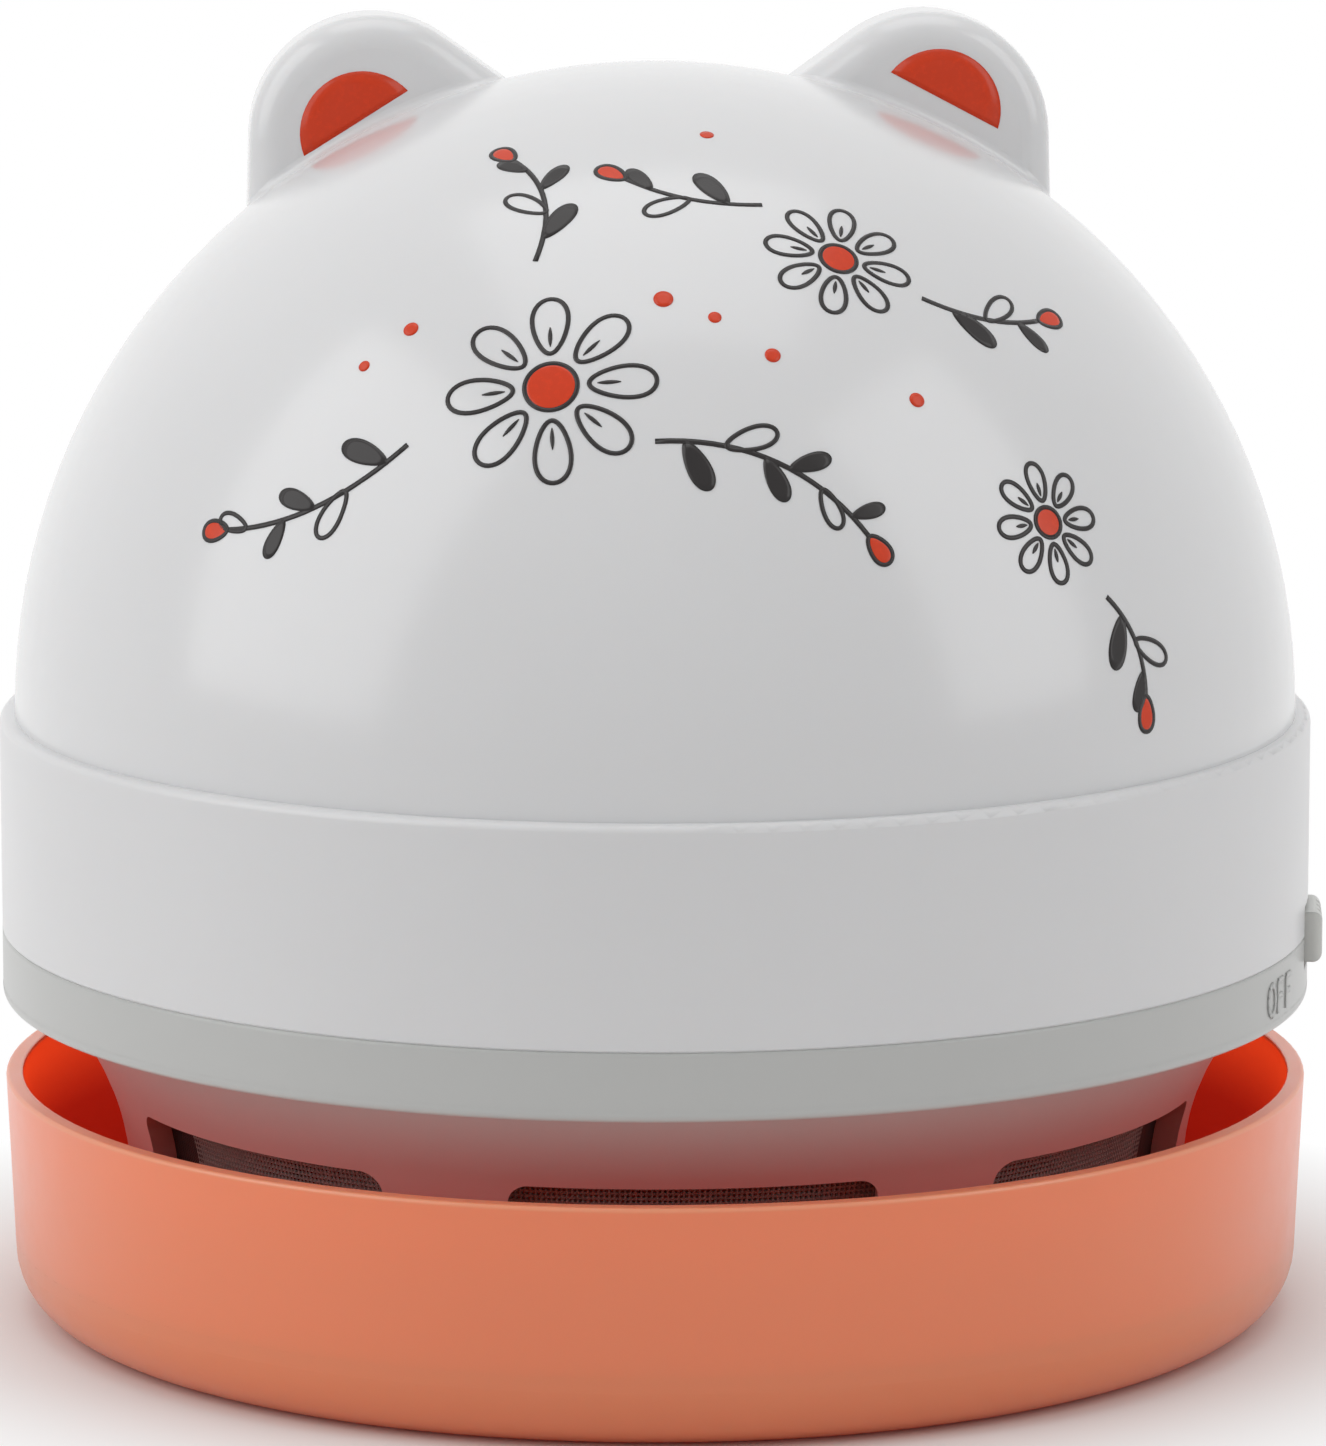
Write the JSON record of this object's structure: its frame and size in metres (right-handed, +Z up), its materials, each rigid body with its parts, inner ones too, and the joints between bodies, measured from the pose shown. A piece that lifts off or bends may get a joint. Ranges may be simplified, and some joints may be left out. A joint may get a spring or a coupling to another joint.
{
  "type": "desktop mini vacuum cleaner",
  "caption": "Round desktop crumb vacuum: open dust cup, filter cage with mesh windows, fan housing with a slide switch, and a domed battery cover with two ears.",
  "frame": {"origin": "centre of the foot ring on the table", "axes": "+Z up along the fan's axis, -Y out of the face, +X out of the switch's side"},
  "size_m": [0.0866, 0.086, 0.0849],
  "materials": {
    "cup_orange": "translucent orange moulding, glossy",
    "dome_white": "glossy white moulding",
    "band_white": "satin white moulding",
    "ring_gray": "satin light gray moulding",
    "cage_white": "satin white moulding",
    "mesh_dark": "fine woven nylon mesh",
    "bristle": "nylon bristles",
    "tray_white": "fine matt moulding",
    "impeller_gray": "matt moulding",
    "motor_steel": "zinc plated sheet",
    "motor_cap": "nylon",
    "magnet": "sintered ferrite",
    "copper": "enamelled winding and copper",
    "bronze": "sintered bronze and tinned brass",
    "shaft_steel": "ground steel",
    "cell_jacket": "plain printed sleeve",
    "contact_steel": "nickel plated spring steel",
    "switch_black": "matt",
    "knob_gray": "satin light gray moulding",
    "screw_steel": "zinc plated",
    "wire_red": "PVC insulation"
  },
  "bodies": {
    "cup": {"dust_cup": "cup_orange", "cup_base": "cup_orange", "intake_tube": "cup_orange", "cage_seat": "cup_orange", "intake_brush": "bristle"},
    "housing": {"filter_cage": "cage_white", "filter_mesh": "mesh_dark", "cage_screws": "screw_steel", "lower_housing": "ring_gray", "middle_housing": "band_white", "housing_screws": "screw_steel", "motor_can": "motor_steel", "motor_bushes": "bronze", "motor_magnets": "magnet", "motor_end_cap": "motor_cap", "motor_terminals": "bronze", "battery_front": "cell_jacket", "battery_back": "cell_jacket", "battery_tray": "tray_white", "contact_plates": "contact_steel", "bridge_plate": "contact_steel", "contact_springs": "contact_steel", "switch_body": "switch_black", "switch_terminals": "bronze", "lead_wires": "wire_red"},
    "cover": {"dome_cover": "dome_white"},
    "rotor": {"motor_shaft": "shaft_steel", "motor_armature": "copper", "impeller": "impeller_gray"},
    "switch": {"switch_knob": "knob_gray", "switch_slider": "switch_black"}
  },
  "joints": [
    {"name": "housing_lift", "type": "slide", "parent": "cup", "child": "housing", "axis": [0, 0, 1], "range_m": [0, 0.03]},
    {"name": "cover_lift", "type": "slide", "parent": "housing", "child": "cover", "axis": [0, 0, 1], "range_m": [0, 0.035]},
    {"name": "fan_spin", "type": "hinge", "parent": "housing", "child": "rotor", "pos_m": [0, 0, 0.03], "axis": [0, 0, 1], "continuous": true},
    {"name": "switch_slide", "type": "slide", "parent": "housing", "child": "switch", "axis": [0.1219, 0.9925, 0], "range_m": [0, 0.004]}
  ]
}
